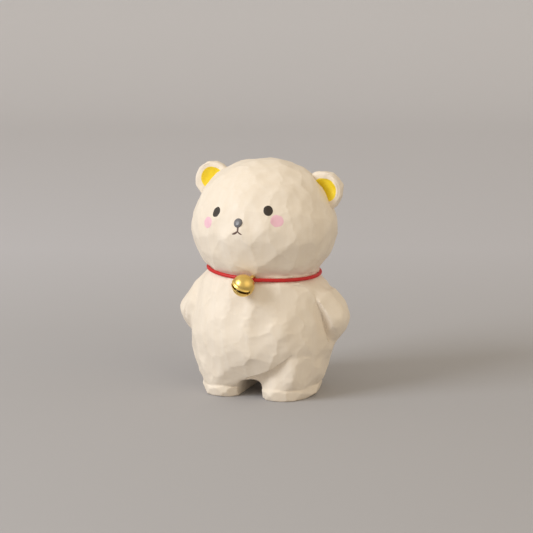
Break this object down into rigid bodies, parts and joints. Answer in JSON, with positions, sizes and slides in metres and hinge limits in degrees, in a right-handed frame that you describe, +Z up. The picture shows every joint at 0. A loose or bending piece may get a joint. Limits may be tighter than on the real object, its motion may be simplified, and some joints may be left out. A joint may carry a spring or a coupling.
{
  "type": "carved wooden bear figurine",
  "caption": "Hand-carved wooden bear with painted face, yellow ears and a small brass bell that hangs on a red neck cord.",
  "frame": {"origin": "on the ground under the middle of the figurine", "axes": "+Z up, the bear faces -Y, +X is the bear's left side"},
  "size_m": [0.0789, 0.0732, 0.1029],
  "materials": {
    "painted_wood": "matte cream stain over light wood, flat knife facets",
    "yellow_paint": "satin yellow paint",
    "eye_paint": "matt black-brown paint",
    "nose_paint": "glossy dark grey paint, domed",
    "mouth_paint": "matt brown paint line",
    "cheek_paint": "matt soft pink paint",
    "red_cord": "waxed twisted cord",
    "brass": "polished",
    "steel": "plain"
  },
  "bodies": {
    "figure": {"carved_body": "painted_wood", "left_ear": "painted_wood", "right_ear": "painted_wood", "left_ear_paint": "yellow_paint", "right_ear_paint": "yellow_paint", "left_eye": "eye_paint", "right_eye": "eye_paint", "nose": "nose_paint", "mouth": "mouth_paint", "left_cheek": "cheek_paint", "right_cheek": "cheek_paint"},
    "collar": {"neck_cord": "red_cord"},
    "bell": {"bell_shell": "brass", "bell_loop": "brass"},
    "pellet": {"bell_pellet": "steel"}
  },
  "joints": [
    {"name": "collar_turn", "type": "hinge", "parent": "figure", "child": "collar", "pos_m": [0, 0, 0.0541], "axis": [0.0523, 0, 0.9986], "range_deg": [-35, 35]},
    {"name": "bell_swing", "type": "hinge", "parent": "collar", "child": "bell", "pos_m": [0.00384, -0.02576, 0.0539], "axis": [-0.9877, -0.1478, 0.0518], "range_deg": [0, 26]},
    {"name": "pellet_rattle", "type": "slide", "parent": "bell", "child": "pellet", "axis": [0.2797, 0.9327, 0.2276], "range_m": [0, 0.0058]}
  ]
}
